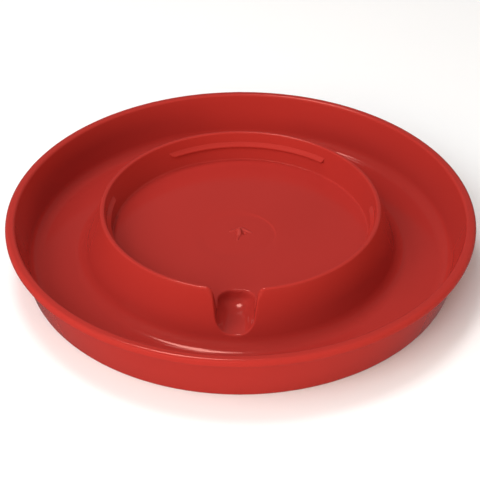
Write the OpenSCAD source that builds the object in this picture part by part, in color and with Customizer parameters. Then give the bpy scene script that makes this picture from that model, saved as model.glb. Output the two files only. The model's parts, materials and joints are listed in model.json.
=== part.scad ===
// Screw-on trough base for the jar of a gravity poultry feeder or drinker.
//
// The real part is one injection moulding. Here each region of it is a solid
// of its own, and neighbouring regions meet face to face without overlapping:
// the lip, the outer wall, the trough round the collar, the double-walled
// collar that the jar screws into, and the outlet that feeds the trough.
//
// Millimetres, +Z up. The origin is the centre of the underside, on the
// surface that the part stands on. The outlet faces -Y.

/* [Trough] */
// Diameter over the lip
rim_d = 240; // [226:1:260]
// Height of the lip above the table
rim_h = 28.3; // [25:0.1:34]
// Radial width of the lip
lip_w = 4.85; // [4:0.05:6]
// Height of the lip band
lip_h = 3.9; // [3.2:0.1:5]
// Lean of the outer wall from upright, in degrees
wall_draft = 13.6; // [8:0.1:18]
// Thickness of every wall of the moulding
wall_t = 2.6; // [2:0.1:3]
// Inside radius where the outer wall meets the trough floor
trough_fillet_r = 6; // [3:0.5:7]
// Inside radius where the collar meets the trough floor
foot_fillet_r = 8; // [4:0.5:9]
// Radius of the bottom edge
bottom_edge_r = 1.5; // [0.5:0.1:2]

/* [Collar] */
// Diameter of the collar along the middle of its crown
crown_d = 141.6; // [138:0.1:146]
// Height of the crown above the table
crown_h = 29.7; // [28:0.1:32]
// Radial width of the crown
crown_w = 2.1; // [1.9:0.1:3.5]
// Lean of the collar's outside from upright, in degrees
collar_draft = 20.2; // [16:0.1:21]
// Lean of the collar's inside from upright, in degrees
socket_draft = 11.6; // [8:0.1:13]
// Height of the seat that the jar's mouth rests on
seat_h = 14; // [12:0.5:16]

/* [Jar lugs] */
// Angle that one lug runs round the socket, in degrees
lug_span = 77.5; // [40:0.5:85]
// Turn of the lug pattern about the axis, in degrees
lug_turn = -1.6; // [-5:0.1:5]
// Height at which a lug's sloping top leaves the wall
lug_top_h = 24.3; // [23:0.1:25]
// How far a lug stands out of the wall
lug_depth = 1.9; // [1:0.1:2.2]

/* [Outlet] */
// Width of the notch through the collar
notch_w = 22; // [20:0.5:26]
// Width of the well under the notch
well_w = 18; // [16:0.5:20]
// Distance of the well's back edge from the axis
well_back_r = 52; // [48:0.5:54]
// Height of the well's lowest point above the table
well_floor_h = 6.8; // [5.5:0.1:7.5]

/* [Gate mark] */
// Length of the mark's two side arms
gate_arm_l = 6.5; // [3:0.5:8]
// Length of the mark's stem
gate_stem_l = 10; // [6:0.5:12]
// Width of the mark's arms
gate_arm_w = 1; // [0.6:0.1:1.5]
// Depth of the shallow circle that the mark stands in
gate_sink = 0.3; // [0.1:0.1:0.5]
// Height of the mark above the bottom of the circle
gate_h = 0.4; // [0.2:0.1:0.6]
// Height of the nub on the mark's stem above the bottom of the circle
gate_nub_h = 0.8; // [0.6:0.1:0.8]

/* [Hidden] */

$fn = 96;
arc_steps = 6;
hull_fn = 28;
moulding_red = [0.78, 0.16, 0.14];
lip_red = [0.84, 0.20, 0.16];
gate_circle_r = 20;
gate_circle_at = [-1.8, -6.5];
gate_arm_angles = [205, 325];
gate_nub_y = -4.5;

// Rounding of the lip and the crown
lip_outer_r = 2.2;
lip_inner_r = 1.5;
lip_under_r = 1.2;
crown_outer_r = 1.1;
crown_inner_r = 0.9;
crown_root_r = 0.5;
seat_fillet_r = 1.5;

// Outer wall: radius of its two faces at height z
lip_z = rim_h - lip_h;
rim_r = rim_d / 2;
foot_r = rim_r - lip_w + wall_t / cos(wall_draft) - rim_h * tan(wall_draft);
function wall_out(z) = foot_r + z * tan(wall_draft);
function wall_in(z) = wall_out(z) - wall_t / cos(wall_draft);

// Collar: radius of its outside cone and of the jar socket at height z
function cone_out(z) = (crown_d + crown_w) / 2 + (crown_h - z) * tan(collar_draft);
function cone_in(z) = cone_out(z) - wall_t / cos(collar_draft);
function socket_in(z) = (crown_d - crown_w) / 2 - (crown_h - z) * tan(socket_draft);
function socket_out(z) = socket_in(z) + wall_t / cos(socket_draft);

// Heights at which the regions meet. The trough keeps both of its fillets.
function fillet_top(r, draft) = wall_t + r * cos(draft) / tan(45 + draft / 2);
trough_top = fillet_top(trough_fillet_r, wall_draft) + 0.8;
collar_foot = fillet_top(foot_fillet_r, collar_draft) + 0.1;
// The collar's two faces would meet at this height inside the crown
root_h = crown_h - (crown_w - wall_t / cos(collar_draft) - wall_t / cos(socket_draft))
    / -(tan(collar_draft) + tan(socket_draft));
crown_z = root_h - 3;
seat_under = seat_h - wall_t;
seat_edge_r = socket_in(seat_h) - 1.6;

// Outlet: the block of the collar and the seat that is cut out for it
cheek_x = notch_w / 2 + wall_t;
outlet_back_r = well_back_r - wall_t;
outlet_front_r = cone_out(0) + 1;
well_corner_r = 6.5;
well_ball_r = 5.5;
// Reach of the well's mouth past the collar's foot, which sets the slope of its front ramp
well_ramp_run = 2;

function unit(v) = v / norm(v);
function wrap(a) = a > 180 ? a - 360 : a < -180 ? a + 360 : a;

// Arc of radius r that rounds the corner at b between a and c
function corner_arc(a, b, c, r) =
    r == 0 ? [b] :
    let (
        u = unit(a - b),
        v = unit(c - b),
        half = acos(u * v) / 2,
        centre = b + unit(u + v) * r / sin(half),
        run = r / tan(half),
        start = b + u * run - centre,
        stop = b + v * run - centre,
        from = atan2(start[1], start[0]),
        sweep = wrap(atan2(stop[1], stop[0]) - from)
    )
    [for (k = [0:arc_steps]) centre + r * [cos(from + sweep * k / arc_steps),
                                          sin(from + sweep * k / arc_steps)]];

// Outline through corners given as [x, y, rounding radius]
function rounded(corners) =
    let (n = len(corners), at = [for (p = corners) [p[0], p[1]]])
    [for (i = [0:n - 1])
        for (p = corner_arc(at[(i + n - 1) % n], at[i], at[(i + 1) % n], corners[i][2])) p];

// Ring about the axis with the given section
module ring(corners) {
    rotate_extrude() polygon(rounded(corners));
}

module rim_lip() {
    color(lip_red) ring([
        [wall_in(lip_z), lip_z, 0],
        [rim_r, lip_z, lip_under_r],
        [rim_r, rim_h, lip_outer_r],
        [wall_in(rim_h), rim_h, lip_inner_r]
    ]);
}

module outer_wall() {
    color(moulding_red) ring([
        [wall_in(trough_top), trough_top, 0],
        [wall_out(trough_top), trough_top, 0],
        [wall_out(lip_z), lip_z, 0],
        [wall_in(lip_z), lip_z, 0]
    ]);
}

module trough_floor() {
    color(moulding_red) ring([
        [wall_out(trough_top), trough_top, 0],
        [wall_in(trough_top), trough_top, 0],
        [wall_in(wall_t), wall_t, trough_fillet_r],
        [cone_out(wall_t), wall_t, foot_fillet_r],
        [cone_out(collar_foot), collar_foot, 0],
        [cone_in(collar_foot), collar_foot, 0],
        [cone_in(0), 0, foot_fillet_r + wall_t],
        [foot_r, 0, bottom_edge_r]
    ]);
}

// The collar's outside cone, all the way round
module cone_ring() {
    ring([
        [cone_in(collar_foot), collar_foot, 0],
        [cone_out(collar_foot), collar_foot, 0],
        [cone_out(crown_z), crown_z, 0],
        [cone_in(crown_z), crown_z, 0]
    ]);
}

// The crown, with the narrow end of the hollow between the collar's two walls
module crown_ring() {
    ring([
        [cone_out(crown_z), crown_z, 0],
        [cone_out(crown_h), crown_h, crown_outer_r],
        [socket_in(crown_h), crown_h, crown_inner_r],
        [socket_in(crown_z), crown_z, 0],
        [socket_out(crown_z), crown_z, 0],
        [socket_out(root_h), root_h, crown_root_r],
        [cone_in(crown_z), crown_z, 0]
    ]);
}

// The collar's inside wall and the fillet at the edge of the seat
module socket_ring() {
    ring([
        [seat_edge_r, seat_under, 0],
        [socket_out(seat_under), seat_under, seat_fillet_r + wall_t],
        [socket_out(crown_z), crown_z, 0],
        [socket_in(crown_z), crown_z, 0],
        [socket_in(seat_h), seat_h, seat_fillet_r],
        [seat_edge_r, seat_h, 0]
    ]);
}

module seat_disc() {
    translate([0, 0, seat_under]) cylinder(r = seat_edge_r, h = wall_t);
}

// Everything below the top surface of the collar and the seat, down to the trough's foot
module drum_envelope() {
    ring([
        [0, 0, 0],
        [cone_in(0), 0, 0],
        [cone_in(collar_foot), collar_foot, 0],
        [cone_out(collar_foot), collar_foot, 0],
        [cone_out(crown_h), crown_h, crown_outer_r],
        [socket_in(crown_h), crown_h, crown_inner_r],
        [socket_in(seat_h), seat_h, seat_fillet_r],
        [0, seat_h, 0]
    ]);
}

// Block that the outlet takes out of the collar and the seat
module outlet_block() {
    translate([-cheek_x, -outlet_front_r, 0])
        cube([2 * cheek_x, outlet_front_r - outlet_back_r, crown_h + 1]);
}

module collar_wall() {
    color(moulding_red) difference() {
        cone_ring();
        outlet_block();
    }
}

module collar_crown() {
    color(moulding_red) difference() {
        crown_ring();
        outlet_block();
    }
}

module socket_wall() {
    color(moulding_red) difference() {
        socket_ring();
        outlet_block();
    }
}

// Shallow circle round the gate mark, sunk into the seat
module gate_circle() {
    translate([gate_circle_at[0], gate_circle_at[1], seat_h - gate_sink])
        cylinder(r = gate_circle_r, h = 1);
}

module jar_seat() {
    color(moulding_red) difference() {
        seat_disc();
        outlet_block();
        gate_circle();
    }
}

// One lug: sloping on top, nearly flat below, centred on the angle middle
module jar_lug(middle) {
    nose_r = socket_in(lug_top_h) - lug_depth;
    top_z = lug_top_h - lug_depth;
    nose_z = top_z - 0.8;
    root_z = nose_z - 0.7;
    color(moulding_red)
        rotate([0, 0, middle - lug_span / 2])
            rotate_extrude(angle = lug_span)
                polygon([
                    [socket_in(root_z), root_z],
                    [socket_in(lug_top_h), lug_top_h],
                    [nose_r, top_z],
                    [nose_r, nose_z]
                ]);
}

module jar_lug_back() {
    jar_lug(90 + lug_turn);
}

module jar_lug_left() {
    jar_lug(210 + lug_turn);
}

module jar_lug_right() {
    jar_lug(330 + lug_turn);
}

// Shape of the well, grown outwards by grow: a rounded mouth over a rounded floor
module well_form(grow) {
    mouth_x = well_w / 2 - well_corner_r;
    back_y = -well_back_r - well_corner_r;
    front_y = -outlet_front_r - well_ramp_run;
    ball_x = well_w / 2 - well_ball_r - 1;
    ball_front_y = -outlet_front_r + 2.5 * well_ball_r;
    ball_z = well_floor_h + well_ball_r;
    hull() {
        for (x = [-mouth_x, mouth_x], y = [back_y, front_y])
            translate([x, y, seat_h])
                cylinder(r = well_corner_r + grow, h = 1, $fn = hull_fn);
        for (x = [-ball_x, ball_x], y = [back_y - 1, ball_front_y])
            translate([x, y, ball_z]) sphere(r = well_ball_r + grow, $fn = hull_fn);
    }
}

// Half the width of the notch at height z: it widens from just over the well's width to the crown
function notch_half(z) =
    let (foot_w = well_w + 0.6)
    (foot_w + (notch_w - foot_w) * (z - seat_h) / (crown_h - seat_h)) / 2;

// Form of the notch, from the seat upwards and through the outlet's whole depth
module notch_form() {
    top = crown_h + 1;
    translate([0, -outlet_back_r, 0])
        rotate([90, 0, 0])
            linear_extrude(outlet_front_r - outlet_back_r)
                polygon([
                    [-notch_half(seat_h), seat_h],
                    [notch_half(seat_h), seat_h],
                    [notch_half(top), top],
                    [-notch_half(top), top]
                ]);
}

// Solid walls of the outlet: both cheeks of the notch, its sill and the well's shell
module outlet_walls() {
    cheek_run = outlet_front_r - socket_in(seat_h) + 4;
    for (x = [-cheek_x, well_w / 2])
        translate([x, -outlet_front_r, seat_under]) cube([cheek_x - well_w / 2, cheek_run, crown_h]);
    translate([-cheek_x, -outlet_front_r, seat_under])
        cube([2 * cheek_x, outlet_front_r - outlet_back_r, wall_t]);
    well_form(wall_t);
}

module outlet_well() {
    color(moulding_red) difference() {
        intersection() {
            union() {
                cone_ring();
                crown_ring();
                socket_ring();
                intersection() {
                    outlet_walls();
                    drum_envelope();
                }
            }
            outlet_block();
        }
        notch_form();
        well_form(0);
    }
}

// One arm of the gate mark, from the axis outwards
module gate_arm(angle, length) {
    rotate(angle) translate([0, -gate_arm_w / 2]) square([length, gate_arm_w]);
}

// Raised mark of the gate: two side arms that sweep back from a stem with a nub on it
module gate_mark() {
    color(moulding_red) translate([0, 0, seat_h - gate_sink]) {
        linear_extrude(gate_h) {
            for (angle = gate_arm_angles) gate_arm(angle, gate_arm_l);
            gate_arm(-95, gate_stem_l);
            circle(r = gate_arm_w);
        }
        translate([0, gate_nub_y, 0]) cylinder(r = gate_arm_w, h = gate_nub_h);
    }
}

rim_lip();
outer_wall();
trough_floor();
collar_wall();
collar_crown();
socket_wall();
jar_seat();
jar_lug_back();
jar_lug_left();
jar_lug_right();
outlet_well();
gate_mark();
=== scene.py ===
"""Looks of a screw-on poultry trough base: one red injection moulding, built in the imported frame.

Every size is in metres, +Z is up and the outlet faces -Y. The moulding is a sheet with a top and an
under surface. Both follow a section that turns about Z, and the outlet is cut into them before the
sheet is parted into the same regions as the CAD, so neighbouring pieces share their edges.
"""
import json
import math

import bpy
import numpy as np
from mathutils import Matrix, Vector

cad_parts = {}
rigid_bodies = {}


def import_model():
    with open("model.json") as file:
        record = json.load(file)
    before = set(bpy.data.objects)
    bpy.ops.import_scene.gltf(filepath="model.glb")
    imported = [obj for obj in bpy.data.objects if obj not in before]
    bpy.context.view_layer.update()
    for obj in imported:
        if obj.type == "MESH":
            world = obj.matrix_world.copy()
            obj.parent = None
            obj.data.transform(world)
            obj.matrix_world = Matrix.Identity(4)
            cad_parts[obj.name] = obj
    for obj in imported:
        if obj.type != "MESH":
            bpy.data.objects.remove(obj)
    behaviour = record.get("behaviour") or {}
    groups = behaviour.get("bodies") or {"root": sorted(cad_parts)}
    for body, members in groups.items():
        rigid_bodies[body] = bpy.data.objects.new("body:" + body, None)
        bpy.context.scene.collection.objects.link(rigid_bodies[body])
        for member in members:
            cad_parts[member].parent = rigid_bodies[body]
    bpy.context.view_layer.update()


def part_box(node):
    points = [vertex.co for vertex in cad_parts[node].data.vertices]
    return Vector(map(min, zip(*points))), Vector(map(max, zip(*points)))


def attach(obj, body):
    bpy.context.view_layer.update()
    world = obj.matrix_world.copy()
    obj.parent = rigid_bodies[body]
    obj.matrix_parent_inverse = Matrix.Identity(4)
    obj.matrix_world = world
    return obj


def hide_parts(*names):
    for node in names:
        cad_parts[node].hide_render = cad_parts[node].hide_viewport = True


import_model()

MM = 0.001

# ---------------------------------------------------------------- sizes, read from the frame

lip_low, lip_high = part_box("rim_lip")
wall_low, wall_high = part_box("outer_wall")
trough_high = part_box("trough_floor")[1]
cone_low, cone_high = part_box("collar_wall")
crown_low, crown_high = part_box("collar_crown")
socket_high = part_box("socket_wall")[1]
seat_low, seat_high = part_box("jar_seat")
outlet_low, outlet_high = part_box("outlet_well")
mark_low, mark_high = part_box("gate_mark")

RIM_R = lip_high.x
RIM_H = lip_high.z
LIP_Z = lip_low.z
CROWN_H = crown_high.z
CROWN_Z = crown_low.z
SEAT_H = seat_high.z
SEAT_EDGE_R = seat_high.x
FOOT_Z = cone_low.z
TROUGH_Z = wall_low.z
WALL_T = SEAT_H - seat_low.z
SOCKET_DRAFT = math.radians(11.6)


def line(r0, z0, r1, z1):
    """Radius as a function of height on the cone through two rings."""
    return lambda z: r0 + (r1 - r0) * (z - z0) / (z1 - z0)


def inward(outer, z0=0.0, z1=0.01):
    """The cone a wall's thickness inside another."""
    lean = math.atan((outer(z1) - outer(z0)) / (z1 - z0))
    return lambda z: outer(z) - WALL_T / math.cos(lean)


wall_out = line(trough_high.x, TROUGH_Z, wall_high.x, LIP_Z)
wall_in = inward(wall_out)
cone_out = line(cone_high.x, FOOT_Z, crown_high.x, CROWN_Z)
cone_in = inward(cone_out)


def socket_out(z):
    """Radius of the socket wall's outer side, under the collar."""
    return socket_high.x - (CROWN_Z - z) * math.tan(SOCKET_DRAFT)


def socket_in(z):
    """Radius of the socket wall's inner side, where the jar goes."""
    return socket_out(z) - WALL_T / math.cos(SOCKET_DRAFT)


# ---------------------------------------------------------------- sections

LIP_OUTER_R = 2.2 * MM
LIP_INNER_R = 1.5 * MM
LIP_UNDER_R = 1.2 * MM
LIP_UNDER_ARC_R = 0.98 * LIP_UNDER_R
UNDER_FILLET_R = 0.9 * MM
UNDER_FILLET_ARC_R = 0.9 * UNDER_FILLET_R
TROUGH_FILLET_R = 7 * MM
FOOT_FILLET_R = 8 * MM
BOTTOM_EDGE_R = 1.5 * MM
CROWN_OUTER_R = 1.1 * MM
CROWN_INNER_R = 0.9 * MM
CROWN_ROOT_R = 0.5 * MM
CROWN_ROOT_Z = CROWN_Z + 3 * MM
SEAT_FILLET_R = 1.0 * MM
SEAT_UNDER_FILLET_R = 1.8 * MM
# The shallow circle's edge is crisp towards one side, counted from +X, and soft away from it
CIRCLE_R = 20 * MM
CIRCLE_X = -1.8 * MM
CIRCLE_Y = -6.5 * MM
CIRCLE_DEPTH = 0.3 * MM
CIRCLE_EDGE_CRISP = 0.9 * MM
CIRCLE_EDGE_WIDE = 7 * MM
CIRCLE_CRISP_AT = math.radians(25)
CIRCLE_CRISP_HALF = math.radians(70)
PIT_X = 2.1 * MM
PIT_Y = -4.7 * MM
PIT_R = 1.1 * MM
PIT_DEPTH = 0.8 * MM
# Share of the pit's radius over which its floor is flat
PIT_FLAT = 0.2
ARC_STEPS = 9
# Longest stretch between two points of a path
COARSE_STEP = 2 * MM
FINE_STEP = 0.8 * MM
SEAT_RIM_STEP = 0.4 * MM
SEAT_STEP = 0.45 * MM
SEAT_UNDER_STEP = 8 * MM


def rounded(corners):
    """Path through corners (r, z, radius), with each radius turned into an arc."""
    at = [np.array(c[:2]) for c in corners]
    path = [at[0]]
    for before, here, after, corner in zip(at, at[1:], at[2:], corners[1:]):
        radius = corner[2]
        if radius == 0:
            path.append(here)
            continue
        u = (before - here) / np.linalg.norm(before - here)
        v = (after - here) / np.linalg.norm(after - here)
        half = math.acos(float(u @ v)) / 2
        centre = here + (u + v) / np.linalg.norm(u + v) * radius / math.sin(half)
        start = here + u * radius / math.tan(half) - centre
        stop = here + v * radius / math.tan(half) - centre
        first = math.atan2(start[1], start[0])
        sweep = math.atan2(stop[1], stop[0]) - first
        sweep = (sweep + math.pi) % (2 * math.pi) - math.pi
        for k in range(ARC_STEPS + 1):
            a = first + sweep * k / ARC_STEPS
            path.append(centre + radius * np.array([math.cos(a), math.sin(a)]))
    path.append(at[-1])
    return np.array(path)


def refined(path, step):
    """The same path with no stretch longer than step."""
    out = [path[0]]
    for a, b in zip(path, path[1:]):
        n = max(1, math.ceil(np.linalg.norm(b - a) / step))
        out.extend(a + (b - a) * k / n for k in range(1, n + 1))
    return np.array(out)


def padded(path, count):
    """The same path with points added in its longest stretches until it has count of them."""
    path = [p for p in path]
    while len(path) < count:
        k = int(np.argmax([np.linalg.norm(b - a) for a, b in zip(path, path[1:])]))
        path.insert(k + 1, (path[k] + path[k + 1]) / 2)
    return np.array(path)


def section(top, under, step):
    """A region's top and under paths, from the rim towards the axis, with equally many points."""
    top = refined(rounded(top), step)
    under = refined(rounded(under), step)
    count = max(len(top), len(under))
    return padded(top, count), padded(under, count)


OUTLET_BACK_R = -outlet_high.y

# The moulding's regions from the rim to the axis. Each one starts where the one before it ends.
SECTIONS = {
    "rim_lip": section(
        [(RIM_R - LIP_UNDER_R, LIP_Z, 0), (RIM_R, LIP_Z, LIP_UNDER_ARC_R),
         (RIM_R, RIM_H, LIP_OUTER_R), (wall_in(RIM_H), RIM_H, LIP_INNER_R), (wall_in(LIP_Z), LIP_Z, 0)],
        [(RIM_R - LIP_UNDER_R, LIP_Z, 0), (wall_out(LIP_Z) + UNDER_FILLET_R, LIP_Z, 0)],
        COARSE_STEP),
    "outer_wall": section(
        [(wall_in(LIP_Z), LIP_Z, 0), (wall_in(TROUGH_Z), TROUGH_Z, 0)],
        [(wall_out(LIP_Z) + UNDER_FILLET_R, LIP_Z, 0), (wall_out(LIP_Z), LIP_Z, UNDER_FILLET_ARC_R),
         (wall_out(TROUGH_Z), TROUGH_Z, 0)],
        COARSE_STEP),
    "trough_floor": section(
        [(wall_in(TROUGH_Z), TROUGH_Z, 0), (wall_in(WALL_T), WALL_T, TROUGH_FILLET_R),
         (cone_out(WALL_T), WALL_T, FOOT_FILLET_R), (cone_out(FOOT_Z), FOOT_Z, 0)],
        [(wall_out(TROUGH_Z), TROUGH_Z, 0), (wall_out(0), 0, BOTTOM_EDGE_R),
         (cone_in(0), 0, FOOT_FILLET_R + WALL_T), (cone_in(FOOT_Z), FOOT_Z, 0)],
        COARSE_STEP),
    "collar_wall": section(
        [(cone_out(FOOT_Z), FOOT_Z, 0), (cone_out(CROWN_Z), CROWN_Z, 0)],
        [(cone_in(FOOT_Z), FOOT_Z, 0), (cone_in(CROWN_Z), CROWN_Z, 0)],
        FINE_STEP),
    "collar_crown": section(
        [(cone_out(CROWN_Z), CROWN_Z, 0), (cone_out(CROWN_H), CROWN_H, CROWN_OUTER_R),
         (socket_in(CROWN_H), CROWN_H, CROWN_INNER_R), (socket_in(CROWN_Z), CROWN_Z, 0)],
        [(cone_in(CROWN_Z), CROWN_Z, 0), (cone_in(CROWN_ROOT_Z), CROWN_ROOT_Z, CROWN_ROOT_R),
         (socket_out(CROWN_Z), CROWN_Z, 0)],
        FINE_STEP),
    "socket_wall": section(
        [(socket_in(CROWN_Z), CROWN_Z, 0), (socket_in(SEAT_H), SEAT_H, SEAT_FILLET_R),
         (SEAT_EDGE_R, SEAT_H, 0)],
        [(socket_out(CROWN_Z), CROWN_Z, 0),
         (socket_out(seat_low.z), seat_low.z, SEAT_UNDER_FILLET_R),
         (SEAT_EDGE_R, seat_low.z, 0)],
        FINE_STEP),
    "seat_rim": section(
        [(SEAT_EDGE_R, SEAT_H, 0), (OUTLET_BACK_R, SEAT_H, 0)],
        [(SEAT_EDGE_R, seat_low.z, 0), (OUTLET_BACK_R, seat_low.z, 0)],
        SEAT_RIM_STEP),
    "seat_middle": (
        refined(rounded([(OUTLET_BACK_R, SEAT_H, 0), (0, SEAT_H, 0)]), SEAT_STEP),
        refined(rounded([(OUTLET_BACK_R, seat_low.z, 0), (0, seat_low.z, 0)]), SEAT_UNDER_STEP)),
}
# Regions that the outlet is cut into, from the trough's foot to the middle of the seat
OUTLET_SECTIONS = ("collar_wall", "collar_crown", "socket_wall", "seat_rim")

# ---------------------------------------------------------------- the outlet

CHEEK_X = outlet_high.x
NOTCH_HALF = CHEEK_X - WALL_T
WELL_HALF = 9.0 * MM
WELL_BACK_Y = outlet_high.y - WALL_T
WELL_FLOOR_Z = outlet_low.z + WALL_T
WELL_PLAN_R = 7 * MM
WELL_FLOOR_R = 4.5 * MM
WELL_BACK_FLOOR_R = 1.8 * MM
WELL_BOWL_R = 13.8 * MM
WELL_BACK_BOWL_R = 15 * MM
WELL_DEEPEST_Y = -60.2 * MM
WELL_LIP_Y = -79.4 * MM
WELL_LIP_Z = 8.8 * MM
WELL_FRONT_CURVE = 1.6
BACK_LEAN = math.radians(6)
EDGE_R_LOW = 0.8 * MM
EDGE_R_CROWN = 3.0 * MM
EDGE_GROWS_FROM = 24 * MM
SEARCH_MARGIN = 1 * MM
HALVINGS = 22
SLOPE_STEP = 0.02 * MM
SAME_POINT = 1e-7
SAME_DISTANCE = 1e-9


def joined(a, b, radius):
    """Signed distance to the overlap of two bodies, whose shared edge is rounded."""
    inner = np.minimum(-radius, np.maximum(a, b))
    return inner + np.hypot(np.maximum(a + radius, 0), np.maximum(b + radius, 0))


def smooth(edge0, edge1, value):
    """Share from 0 at one edge to 1 at the other, level at both."""
    t = np.clip((value - edge0) / (edge1 - edge0), 0, 1)
    return t * t * (3 - 2 * t)


def well_floor_z(x, y):
    """Height of the well's floor: a bowl that rises gently to its front lip and faster to its back."""
    run = (WELL_DEEPEST_Y - y) / (WELL_DEEPEST_Y - WELL_LIP_Y)
    front = (WELL_LIP_Z - WELL_FLOOR_Z) * np.maximum(run, 0) ** WELL_FRONT_CURVE
    back = np.maximum(y - WELL_DEEPEST_Y, 0) ** 2 / (2 * WELL_BACK_BOWL_R)
    return WELL_FLOOR_Z + x ** 2 / (2 * WELL_BOWL_R) + front + back


def cut_distance(x, y, z):
    """Signed distance to the space of the notch and the well, negative inside it."""
    lean = math.atan((NOTCH_HALF - WELL_HALF) / (CROWN_H - SEAT_H))
    side = (np.abs(x) - WELL_HALF - (z - SEAT_H) * math.tan(lean)) * math.cos(lean)
    back = (y - WELL_BACK_Y - (z - SEAT_H) * math.tan(BACK_LEAN)) * math.cos(BACK_LEAN)
    floor_r = WELL_FLOOR_R + (WELL_BACK_FLOOR_R - WELL_FLOOR_R) * smooth(WELL_DEEPEST_Y, WELL_BACK_Y, y)
    return joined(joined(side, back, WELL_PLAN_R), well_floor_z(x, y) - z, floor_r)


def path_distance(r, z, path):
    """Signed distance to a path that runs inwards, positive above it."""
    best = np.full(r.shape, np.inf)
    sign = np.ones(r.shape)
    for a, b in zip(path, path[1:]):
        d = b - a
        t = np.clip(((r - a[0]) * d[0] + (z - a[1]) * d[1]) / (d @ d), 0, 1)
        off_r = r - a[0] - t * d[0]
        off_z = z - a[1] - t * d[1]
        far = np.hypot(off_r, off_z)
        side = np.sign(d[1] * off_r - d[0] * off_z)
        nearer = far < best - SAME_DISTANCE
        sign = np.where(nearer, side, sign)
        best = np.where(nearer, far, best)
    return best * sign


def unique_path(names, which):
    """The joined top (0) or under (1) path of several regions, without repeated points."""
    points = np.vstack([SECTIONS[n][which] for n in names])
    gaps = np.linalg.norm(points[1:] - points[:-1], axis=1)
    return points[np.append(True, gaps > SAME_POINT)]


# The outlet is cut into these regions and meets the first and the last of them
ROUND_OUTLET = ("trough_floor",) + OUTLET_SECTIONS + ("seat_middle",)
TOP_PATH = unique_path(ROUND_OUTLET, 0)
UNDER_PATH = unique_path(ROUND_OUTLET, 1)


def top_field(x, y, z):
    """Negative in the moulding, positive in the open space above it."""
    radius = EDGE_R_LOW + (EDGE_R_CROWN - EDGE_R_LOW) * smooth(EDGE_GROWS_FROM, CROWN_H, z)
    return joined(path_distance(np.hypot(x, y), z, TOP_PATH), -cut_distance(x, y, z), radius)


def under_field(x, y, z):
    """Negative in the open space below the moulding, positive in the moulding."""
    below = path_distance(np.hypot(x, y), z, UNDER_PATH)
    return joined(below, WALL_T - cut_distance(x, y, z), EDGE_R_LOW)


def crossing(field, x, y):
    """Height at which a field turns from negative below to positive above."""
    low = np.full(x.shape, -SEARCH_MARGIN)
    high = np.full(x.shape, CROWN_H + SEARCH_MARGIN)
    for _ in range(HALVINGS):
        middle = (low + high) / 2
        above = field(x, y, middle) > 0
        high = np.where(above, middle, high)
        low = np.where(above, low, middle)
    return (low + high) / 2


def steepest(field, x, y, z):
    """Direction in which a field rises fastest."""
    return np.stack([
        field(x + SLOPE_STEP, y, z) - field(x - SLOPE_STEP, y, z),
        field(x, y + SLOPE_STEP, z) - field(x, y - SLOPE_STEP, z),
        field(x, y, z + SLOPE_STEP) - field(x, y, z - SLOPE_STEP),
    ], axis=-1)


# ---------------------------------------------------------------- the sheet

REFERENCE_R = 71 * MM
WIDEST_COLUMN = math.radians(1.25)
CHEEK_ANGLE = math.asin(CHEEK_X / REFERENCE_R)
# Beside the outlet the columns run parallel to it. From here to there they turn radial.
SPREAD_START = CHEEK_ANGLE + 0.01
SPREAD_END = math.radians(40)
FRONT_R = cone_out(0)
BOWL_X = 8.4 * MM
BOWL_COLUMNS = 13
CHEEK_COLUMNS = 24
COLUMN_GROWTH = 1.12


def column_angles():
    """Angles of the sheet's columns, close together at the outlet's cheeks and wide at the back."""
    bowl = np.linspace(0, BOWL_X, BOWL_COLUMNS)
    cheek = np.linspace(BOWL_X, CHEEK_X, CHEEK_COLUMNS)[1:]
    half = [math.asin(x / REFERENCE_R) for x in np.concatenate([bowl, cheek])]
    step = half[-1] - half[-2]
    while half[-1] < math.pi - WIDEST_COLUMN:
        step = min(step * COLUMN_GROWTH, WIDEST_COLUMN)
        half.append(half[-1] + step)
    half[-1] = math.pi
    return np.array([-a for a in half[-2:0:-1]] + half)


ANGLES = column_angles()
COLUMNS = len(ANGLES)
FIRST_CHEEK = int(np.argmin(np.abs(ANGLES + CHEEK_ANGLE)))
LAST_CHEEK = int(np.argmin(np.abs(ANGLES - CHEEK_ANGLE)))


def azimuths(radii):
    """Azimuth of each column on each ring: parallel to the outlet beside it, radial elsewhere."""
    r, a = np.meshgrid(np.clip(radii, OUTLET_BACK_R, FRONT_R), ANGLES, indexing="ij")
    near = 1 - smooth(SPREAD_START, SPREAD_END, np.abs(a))
    share = np.clip(REFERENCE_R * np.sin(a) / r, -1, 1)
    parallel = np.where(np.abs(a) < SPREAD_END, np.arcsin(share), a)
    return a + near * (parallel - a)


def sunk_circle(x, y):
    """Depth of the shallow circle round the gate mark, crisp on one side only, and of the pit beside it."""
    far = np.hypot(x - CIRCLE_X, y - CIRCLE_Y)
    turn = np.arctan2(y - CIRCLE_Y, x - CIRCLE_X) - CIRCLE_CRISP_AT
    crisp = smooth(math.cos(CIRCLE_CRISP_HALF), 1, np.cos(turn))
    width = CIRCLE_EDGE_WIDE + (CIRCLE_EDGE_CRISP - CIRCLE_EDGE_WIDE) * crisp
    pit = PIT_DEPTH * (1 - smooth(PIT_FLAT, 1, np.hypot(x - PIT_X, y - PIT_Y) / PIT_R))
    return CIRCLE_DEPTH * (1 - smooth(CIRCLE_R - width / 2, CIRCLE_R + width / 2, far)) + pit


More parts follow.
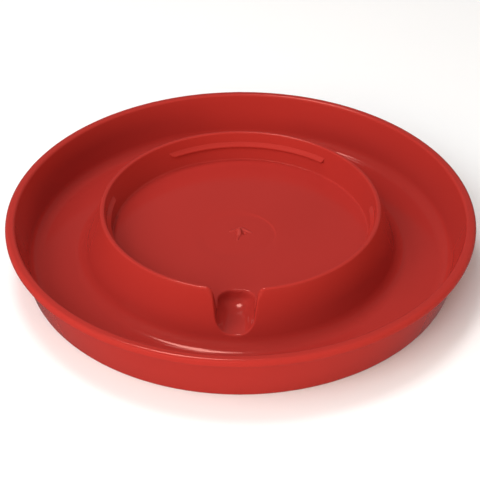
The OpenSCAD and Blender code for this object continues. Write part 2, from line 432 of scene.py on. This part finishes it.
class Sheet:
    """One surface of the moulding: rings of points from the rim to the axis, and their normals."""

    def __init__(self, which, field, first_id):
        rings = []
        cut_rows = []
        self.rows = {}
        for name, paths in SECTIONS.items():
            start = max(len(rings) - 1, 0)
            rings.extend(paths[which] if not rings else paths[which][1:])
            self.rows[name] = (start, len(rings) - 1)
            if name in OUTLET_SECTIONS:
                cut_rows += range(start, len(rings))
        rings = np.array(rings)
        phi = azimuths(rings[:, 0])
        x = rings[:, :1] * np.sin(phi)
        y = -rings[:, :1] * np.cos(phi)
        z = np.repeat(rings[:, 1:], COLUMNS, axis=1)
        block = np.ix_(sorted(set(cut_rows)), range(FIRST_CHEEK, LAST_CHEEK + 1))
        z[block] = crossing(field, x[block], y[block])
        outward = 1 if which == 0 else -1
        if which == 0:
            middle = slice(self.rows["seat_middle"][0], None)
            z[middle] -= sunk_circle(x[middle], y[middle])
        self.points = np.stack([x, y, z], axis=-1)
        along = np.gradient(self.points, axis=0)
        around = np.roll(self.points, -1, axis=1) - np.roll(self.points, 1, axis=1)
        normal = np.cross(around, along) * outward
        normal[block] = steepest(field, x[block], y[block], z[block]) * outward
        normal[-1] = (0, 0, outward)
        self.normals = normal / np.linalg.norm(normal, axis=-1, keepdims=True)
        self.ids = first_id + np.arange(z.size).reshape(z.shape)
        self.ids[-1] = self.ids[-1, 0]

    def cells(self, name, columns):
        """Corners of a region's faces over some columns, seen from outside the moulding."""
        first, last = self.rows[name]
        i, j = np.meshgrid(range(first, last), columns, indexing="ij")
        k = (j + 1) % COLUMNS
        corners = [self.ids[i, j], self.ids[i, k], self.ids[i + 1, k], self.ids[i + 1, j]]
        return np.stack(corners, -1).reshape(-1, 4)


TOP = Sheet(0, top_field, 0)
UNDER = Sheet(1, under_field, TOP.ids.size)
POINTS = np.vstack([TOP.points.reshape(-1, 3), UNDER.points.reshape(-1, 3)])
NORMALS = np.vstack([TOP.normals.reshape(-1, 3), UNDER.normals.reshape(-1, 3)])
ALL_ROUND = np.arange(COLUMNS)
OUTLET = np.arange(FIRST_CHEEK, LAST_CHEEK)
BUT_OUTLET = np.arange(LAST_CHEEK, FIRST_CHEEK + COLUMNS) % COLUMNS
LEAST_AREA = 1e-15

# ---------------------------------------------------------------- pieces


def added(name, data):
    """An object made of a mesh, a lamp or a camera, in the scene."""
    thing = bpy.data.objects.new(name, data)
    bpy.context.scene.collection.objects.link(thing)
    return thing


def smooth_piece(name, points, faces):
    """A piece made of points and faces, shaded smooth."""
    mesh = bpy.data.meshes.new(name)
    mesh.from_pydata(points, [], faces)
    mesh.validate()
    mesh.shade_smooth()
    return added(name, mesh)


def ring_cut(name, end, columns, outward):
    """Faces that close the sheet along a ring. outward is 1 at a region's outer ring, -1 at its inner."""
    top = TOP.ids[TOP.rows[name][end]]
    under = UNDER.ids[UNDER.rows[name][end]]
    after = (columns + 1) % COLUMNS
    loops = np.stack([top[columns], under[columns], under[after], top[after]], -1)
    return loops if outward > 0 else loops[:, ::-1]


def side_cut(name, column, outward):
    """Faces that close the sheet along a column. outward is 1 where the cut faces higher columns."""
    top = TOP.ids[TOP.rows[name][0]:TOP.rows[name][1] + 1, column]
    under = UNDER.ids[UNDER.rows[name][0]:UNDER.rows[name][1] + 1, column]
    loops = np.stack([top[:-1], under[:-1], under[1:], top[1:]], -1)
    return loops if outward > 0 else loops[:, ::-1]


def sheet_piece(name, spans, cuts):
    """A closed solid of regions of the sheet, given with their columns, and the cuts that close it.

    Its skin keeps the sheet's normals, and its cuts are shaded flat.
    """
    faces = [TOP.cells(*span) for span in spans] + [UNDER.cells(*span)[:, ::-1] for span in spans]
    skin = sum(len(f) for f in faces)
    faces = np.vstack(faces + cuts)
    used, local = np.unique(faces, return_inverse=True)
    local = local.reshape(faces.shape)
    polygons = []
    normals = []
    for index, (loop, ids) in enumerate(zip(local.tolist(), faces.tolist())):
        corners = [k for k in range(4) if loop[k] != loop[k - 1]]
        polygons.append([loop[k] for k in corners])
        if index < skin:
            normals.extend(NORMALS[ids[k]] for k in corners)
        else:
            flat = np.cross(POINTS[ids[2]] - POINTS[ids[0]], POINTS[ids[3]] - POINTS[ids[1]])
            normals.extend([flat / max(np.linalg.norm(flat), LEAST_AREA)] * len(corners))
    mesh = bpy.data.meshes.new(name)
    mesh.from_pydata(POINTS[used].tolist(), [], polygons)
    mesh.shade_smooth()
    mesh.normals_split_custom_set([tuple(n) for n in normals])
    return added(name, mesh)


def ring_piece(name, region, columns):
    """A region all the way round, or all the way round but for the outlet's block."""
    cuts = [ring_cut(region, 0, columns, 1), ring_cut(region, 1, columns, -1)]
    if len(columns) < COLUMNS:
        cuts += [side_cut(region, LAST_CHEEK, -1), side_cut(region, FIRST_CHEEK, 1)]
    return sheet_piece(name, [(region, columns)], cuts)


def seat_piece():
    """The seat: its middle is whole, and its rim is open at the outlet's block."""
    cuts = [
        ring_cut("seat_rim", 0, BUT_OUTLET, 1), ring_cut("seat_middle", 0, OUTLET, 1),
        side_cut("seat_rim", LAST_CHEEK, -1), side_cut("seat_rim", FIRST_CHEEK, 1),
    ]
    return sheet_piece("seat_disc", [("seat_rim", BUT_OUTLET), ("seat_middle", ALL_ROUND)], cuts)


def outlet_piece():
    """The outlet's block: the notch through the collar and the well in front of and under it."""
    cuts = [ring_cut("collar_wall", 0, OUTLET, 1), ring_cut("seat_rim", 1, OUTLET, -1)]
    for region in OUTLET_SECTIONS:
        cuts += [side_cut(region, FIRST_CHEEK, -1), side_cut(region, LAST_CHEEK, 1)]
    return sheet_piece("outlet_spout", [(region, OUTLET) for region in OUTLET_SECTIONS], cuts)


pieces = {
    "rim_lip": ring_piece("lip_ring", "rim_lip", ALL_ROUND),
    "outer_wall": ring_piece("trough_wall", "outer_wall", ALL_ROUND),
    "trough_floor": ring_piece("trough_channel", "trough_floor", ALL_ROUND),
    "collar_wall": ring_piece("collar_cone", "collar_wall", BUT_OUTLET),
    "collar_crown": ring_piece("crown_ring", "collar_crown", BUT_OUTLET),
    "socket_wall": ring_piece("socket_ring", "socket_wall", BUT_OUTLET),
    "jar_seat": seat_piece(),
    "outlet_well": outlet_piece(),
}

# ---------------------------------------------------------------- the locking lugs

LUG_TOP_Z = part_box("jar_lug_back")[1].z
LUG_DEPTH = 1.9 * MM
LUG_SPAN = math.radians(77.5)
LUG_TURN = math.radians(-1.6)
LUG_NOSE_H = 0.8 * MM
LUG_ROOT_DROP = 0.7 * MM
LUG_BURIED = 0.5 * MM
LUG_TAPER = math.radians(2.5)
LUG_BLUNT = math.radians(1.2)
LUG_STEP = math.radians(1)
# Extra stations in the blunt end, as shares of its length
LUG_BLUNT_STATIONS = (0.1, 0.3, 0.6)
# Shares of the full depth and of the full nose that are left at the ends
LUG_LEAST = 0.06
LUG_LEAST_NOSE = 0.4
LUG_NOSE_R = 0.3 * MM
LUG_TOP_R = 0.35 * MM
LUG_LEAST_R = 0.01 * MM
LUG_ROOT_R = 0.02 * MM
LUG_BURIED_RISE = 0.05 * MM


def lug_section(share):
    """Closed section of a lug, in (r, z), for a share of its full depth."""
    depth = LUG_DEPTH * share
    nose_r = socket_in(LUG_TOP_Z) - depth
    top_z = LUG_TOP_Z - depth
    nose_z = top_z - LUG_NOSE_H * (LUG_LEAST_NOSE + (1 - LUG_LEAST_NOSE) * share)
    root_z = nose_z - LUG_ROOT_DROP * share
    return rounded([
        (socket_in(root_z) + LUG_BURIED, root_z - LUG_BURIED_RISE, 0),
        (socket_in(root_z), root_z, LUG_ROOT_R),
        (nose_r, nose_z, LUG_NOSE_R * share + LUG_LEAST_R),
        (nose_r, top_z, LUG_TOP_R * share + LUG_LEAST_R),
        (socket_in(LUG_TOP_Z), LUG_TOP_Z, LUG_ROOT_R),
        (socket_in(LUG_TOP_Z) + LUG_BURIED, LUG_TOP_Z + LUG_BURIED_RISE, 0),
    ])


def lug_piece(name, middle):
    """A lug swept round the socket, pointed at its leading end and blunt at the other."""
    count = round(LUG_SPAN / LUG_STEP)
    stations = [(k / count - 0.5) * LUG_SPAN for k in range(count + 1)]
    stations += [LUG_SPAN / 2 - LUG_BLUNT * f for f in LUG_BLUNT_STATIONS]
    stations.sort()
    points = []
    faces = []
    for station in stations:
        lead = np.clip((station + LUG_SPAN / 2) / LUG_TAPER, 0, 1)
        tail = np.clip((LUG_SPAN / 2 - station) / LUG_BLUNT, 0, 1)
        full = min(math.sin(lead * math.pi / 2), math.sqrt(1 - (1 - tail) ** 2))
        a = middle - station
        ring = lug_section(LUG_LEAST + (1 - LUG_LEAST) * full)
        points += [(r * math.cos(a), r * math.sin(a), z) for r, z in ring]
    n = len(lug_section(1))
    for i in range(len(stations) - 1):
        for j in range(n):
            k = (j + 1) % n
            faces.append([i * n + j, (i + 1) * n + j, (i + 1) * n + k, i * n + k])
    faces.append(list(range(n)))
    faces.append([(len(stations) - 1) * n + j for j in reversed(range(n))])
    return smooth_piece(name, points, faces)


for node, name, degrees in (
    ("jar_lug_back", "lug_back", 90),
    ("jar_lug_left", "lug_left", 210),
    ("jar_lug_right", "lug_right", 330),
):
    pieces[node] = lug_piece(name, math.radians(degrees) + LUG_TURN)

# ---------------------------------------------------------------- the gate mark

GATE_ARM_W = 2.6 * MM
GATE_ARM_H = 0.85 * MM
GATE_ARM_TAPER = 0.5
# Direction in degrees from +X, and length, of the left arm, the right arm and the tail
GATE_ARMS = ((212, 7.5 * MM), (325, 8.0 * MM), (264, 12.0 * MM))
GATE_BODY_X = -0.6 * MM
GATE_BODY_Y = -4.4 * MM
GATE_BODY_HALF_W = 1.5 * MM
GATE_BODY_HALF_L = 3.6 * MM
GATE_BODY_H = 2.4 * (mark_high.z - mark_low.z)
# Share of the body's height that is left at its front end
GATE_BODY_LOW_END = 0.15
GATE_BODY_ROUNDNESS = 4
GATE_GRID = 141
GATE_SUNK = 0.05 * MM
GATE_BURIED = 0.15 * MM


def gate_height(x, y):
    """Height of the gate mark: tent-shaped arms, and a blunt body that slopes down to the front."""
    height = np.zeros_like(x)
    for degrees, length in GATE_ARMS:
        a = math.radians(degrees)
        along = x * math.cos(a) + y * math.sin(a)
        across = -x * math.sin(a) + y * math.cos(a)
        beyond = along - np.clip(along, 0, length - GATE_ARM_W / 2)
        taper = 1 - GATE_ARM_TAPER * np.clip(along / length, 0, 1)
        far = np.hypot(across, beyond) / (GATE_ARM_W / 2 * taper)
        height = np.maximum(height, np.maximum(1 - far, 0) * taper * GATE_ARM_H)
    back = (y - GATE_BODY_Y) / GATE_BODY_HALF_L
    far = np.hypot((x - GATE_BODY_X) / GATE_BODY_HALF_W, back)
    slope = GATE_BODY_LOW_END + (1 - GATE_BODY_LOW_END) * np.clip(0.5 + back / 2, 0, 1)
    body = np.sqrt(np.maximum(1 - far ** GATE_BODY_ROUNDNESS, 0)) * GATE_BODY_H * slope
    return np.maximum(height, body)


def gate_piece():
    """The gate mark as a closed solid over a fine grid, with its foot buried in the seat."""
    reach = max(length for _, length in GATE_ARMS) + GATE_ARM_W
    grid = np.linspace(-reach, reach, GATE_GRID)
    x, y = np.meshgrid(grid, grid, indexing="ij")
    height = gate_height(x, y)
    z = mark_low.z - GATE_SUNK + height
    points = []
    index = {}
    faces = []
    inside = height > 0
    cells = inside[:-1, :-1] | inside[1:, :-1] | inside[:-1, 1:] | inside[1:, 1:]

    def vertex(i, j, top):
        """Number of the vertex on the top or the foot of a grid point, made when first asked for."""
        key = (i, j, top)
        if key not in index:
            index[key] = len(points)
            points.append((x[i, j], y[i, j], z[i, j] if top else mark_low.z - GATE_BURIED))
        return index[key]

    for i, j in zip(*np.nonzero(cells)):
        loop = [(i, j), (i + 1, j), (i + 1, j + 1), (i, j + 1)]
        faces.append([vertex(*c, True) for c in loop])
        faces.append([vertex(*c, False) for c in reversed(loop)])
        neighbours = [(i, j - 1), (i + 1, j), (i, j + 1), (i - 1, j)]
        for k, (a, b) in enumerate(neighbours):
            if not (0 <= a < cells.shape[0] and 0 <= b < cells.shape[1] and cells[a, b]):
                p = loop[k]
                q = loop[(k + 1) % 4]
                faces.append([vertex(*p, False), vertex(*q, False), vertex(*q, True), vertex(*p, True)])
    return smooth_piece("gate_star", [tuple(float(c) for c in p) for p in points], faces)


pieces["gate_mark"] = gate_piece()

# ---------------------------------------------------------------- material

DEEP_RED = (0.370, 0.0260, 0.0200, 1)
PALE_RED = (0.400, 0.0290, 0.0230, 1)
REFLECTION_TINT = (1, 0.46, 0.38, 1)
REFRACTION = 1.49
REFLECTION = 0.5
# Scale and detail of each noise
FLOW_MARKS = (18, 3)
GLOSS_PATCHES = (60, 4)
ORANGE_PEEL = (900, 2)
PEEL_STRENGTH = 0.12
PEEL_DEPTH = 0.05 * MM


def red_plastic(name, smoothest, roughest):
    """Red moulded plastic: faint flow marks, a fine orange peel and a gloss that varies a little."""
    material = bpy.data.materials.new(name)
    material.use_nodes = True
    nodes = material.node_tree.nodes
    links = material.node_tree.links
    shader = nodes["Principled BSDF"]
    shader.inputs["IOR"].default_value = REFRACTION
    shader.inputs["Specular IOR Level"].default_value = REFLECTION
    shader.inputs["Specular Tint"].default_value = REFLECTION_TINT
    place = nodes.new("ShaderNodeTexCoord")

    def noise(scale, detail):
        """A noise from 0 to 1 that is fixed to the piece."""
        texture = nodes.new("ShaderNodeTexNoise")
        texture.inputs["Scale"].default_value = scale
        texture.inputs["Detail"].default_value = detail
        links.new(place.outputs["Object"], texture.inputs["Vector"])
        return texture.outputs["Fac"]

    def ramp(value, low, high):
        """A value from 0 to 1, spread between low and high."""
        node = nodes.new("ShaderNodeMapRange")
        node.inputs["To Min"].default_value = low
        node.inputs["To Max"].default_value = high
        links.new(value, node.inputs["Value"])
        return node.outputs["Result"]

    tint = nodes.new("ShaderNodeMix")
    tint.data_type = "RGBA"
    tint.inputs["A"].default_value = DEEP_RED
    tint.inputs["B"].default_value = PALE_RED
    links.new(noise(*FLOW_MARKS), tint.inputs["Factor"])
    links.new(tint.outputs["Result"], shader.inputs["Base Color"])
    links.new(ramp(noise(*GLOSS_PATCHES), smoothest, roughest), shader.inputs["Roughness"])
    bump = nodes.new("ShaderNodeBump")
    bump.inputs["Strength"].default_value = PEEL_STRENGTH
    bump.inputs["Distance"].default_value = PEEL_DEPTH
    links.new(noise(*ORANGE_PEEL), bump.inputs["Height"])
    links.new(bump.outputs["Normal"], shader.inputs["Normal"])
    return material


moulded = red_plastic("red_plastic", 0.11, 0.15)
# Where the plastic tore off at the gate it is rougher
torn = red_plastic("torn_red_plastic", 0.50, 0.60)
for node, piece in pieces.items():
    piece.data.materials.append(torn if node == "gate_mark" else moulded)
    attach(piece, "root")
    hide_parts(node)

# ---------------------------------------------------------------- floor, light and camera

FLOOR_HALF = 6.0
FLOOR_COLOUR = (0.95, 0.95, 0.95, 1)
FLOOR_ROUGHNESS = 0.9
LIGHT_DISTANCE = 1.6
AMBIENT = 0.13


def floor_piece():
    """A wide pale floor that the part stands on. The plastic doesn't mirror it."""
    corners = [(x * FLOOR_HALF, y * FLOOR_HALF, 0) for x, y in ((-1, -1), (1, -1), (1, 1), (-1, 1))]
    mesh = bpy.data.meshes.new("floor")
    mesh.from_pydata(corners, [], [(0, 1, 2, 3)])
    material = bpy.data.materials.new("pale_floor")
    material.use_nodes = True
    shader = material.node_tree.nodes["Principled BSDF"]
    shader.inputs["Base Color"].default_value = FLOOR_COLOUR
    shader.inputs["Roughness"].default_value = FLOOR_ROUGHNESS
    mesh.materials.append(material)
    floor = added("floor", mesh)
    floor.visible_glossy = False
    return floor


floor_piece()


def soft_light(name, azimuth, elevation, size, watts, colour=(1, 1, 1), gleams=False):
    """A square softbox that looks at the part. Azimuth 0 is the outlet's side and 90 is +X.

    A light that gleams is mirrored by the plastic. The others only light it.
    """
    lamp = bpy.data.lights.new(name, "AREA")
    lamp.shape = "SQUARE"
    lamp.size = size
    lamp.energy = watts
    lamp.color = colour
    light = added(name, lamp)
    a = math.radians(azimuth)
    e = math.radians(elevation)
    towards = Vector((math.sin(a) * math.cos(e), -math.cos(a) * math.cos(e), math.sin(e)))
    light.location = towards * LIGHT_DISTANCE
    light.rotation_euler = towards.to_track_quat("Z", "Y").to_euler()
    light.visible_glossy = gleams


soft_light("overhead", -146, 71.5, 0.43, 7.8, gleams=True)
soft_light("ceiling", 0, 85, 1.8, 6.0)
soft_light("key_left", -66, 42, 0.9, 8.5)
soft_light("key_front", -26, 38, 1.2, 16.0)
soft_light("low_left", -48, 14, 0.7, 6.5, (1, 0.62, 0.30))
soft_light("low_right", 47, 7, 0.7, 12.5, (1, 0.76, 0.52))
soft_light("rear_right", 145, 20, 1.6, 0.8)

world = bpy.data.worlds.new("studio")
bpy.context.scene.world = world
world.use_nodes = True
world.node_tree.nodes["Background"].inputs["Color"].default_value = (1, 1, 1, 1)
world.node_tree.nodes["Background"].inputs["Strength"].default_value = AMBIENT
bpy.context.scene.view_settings.view_transform = "Standard"

VIEW_AZIMUTH = math.radians(2.15)
VIEW_ELEVATION = math.radians(36.26)
VIEW_ROLL = math.radians(-0.27)
VIEW_DISTANCE = 0.640
AIM = Vector((-0.64 * MM, 8.24 * MM, 0))
LENS = 89.8875
SENSOR_WIDTH = 36
NEAREST = 0.01


def photo_camera():
    """The camera at the photo's angle. Its lens and its sensor are in millimetres."""
    data = bpy.data.cameras.new("camera")
    data.sensor_width = SENSOR_WIDTH
    data.lens = LENS
    data.clip_start = NEAREST
    camera = added("camera", data)
    back = Vector((
        math.sin(VIEW_AZIMUTH) * math.cos(VIEW_ELEVATION),
        -math.cos(VIEW_AZIMUTH) * math.cos(VIEW_ELEVATION),
        math.sin(VIEW_ELEVATION),
    ))
    camera.location = AIM + back * VIEW_DISTANCE
    turn = back.to_track_quat("Z", "Y").to_matrix().to_4x4()
    turn = turn @ Matrix.Rotation(VIEW_ROLL, 4, "Z")
    camera.rotation_euler = turn.to_euler()
    bpy.context.scene.camera = camera


photo_camera()
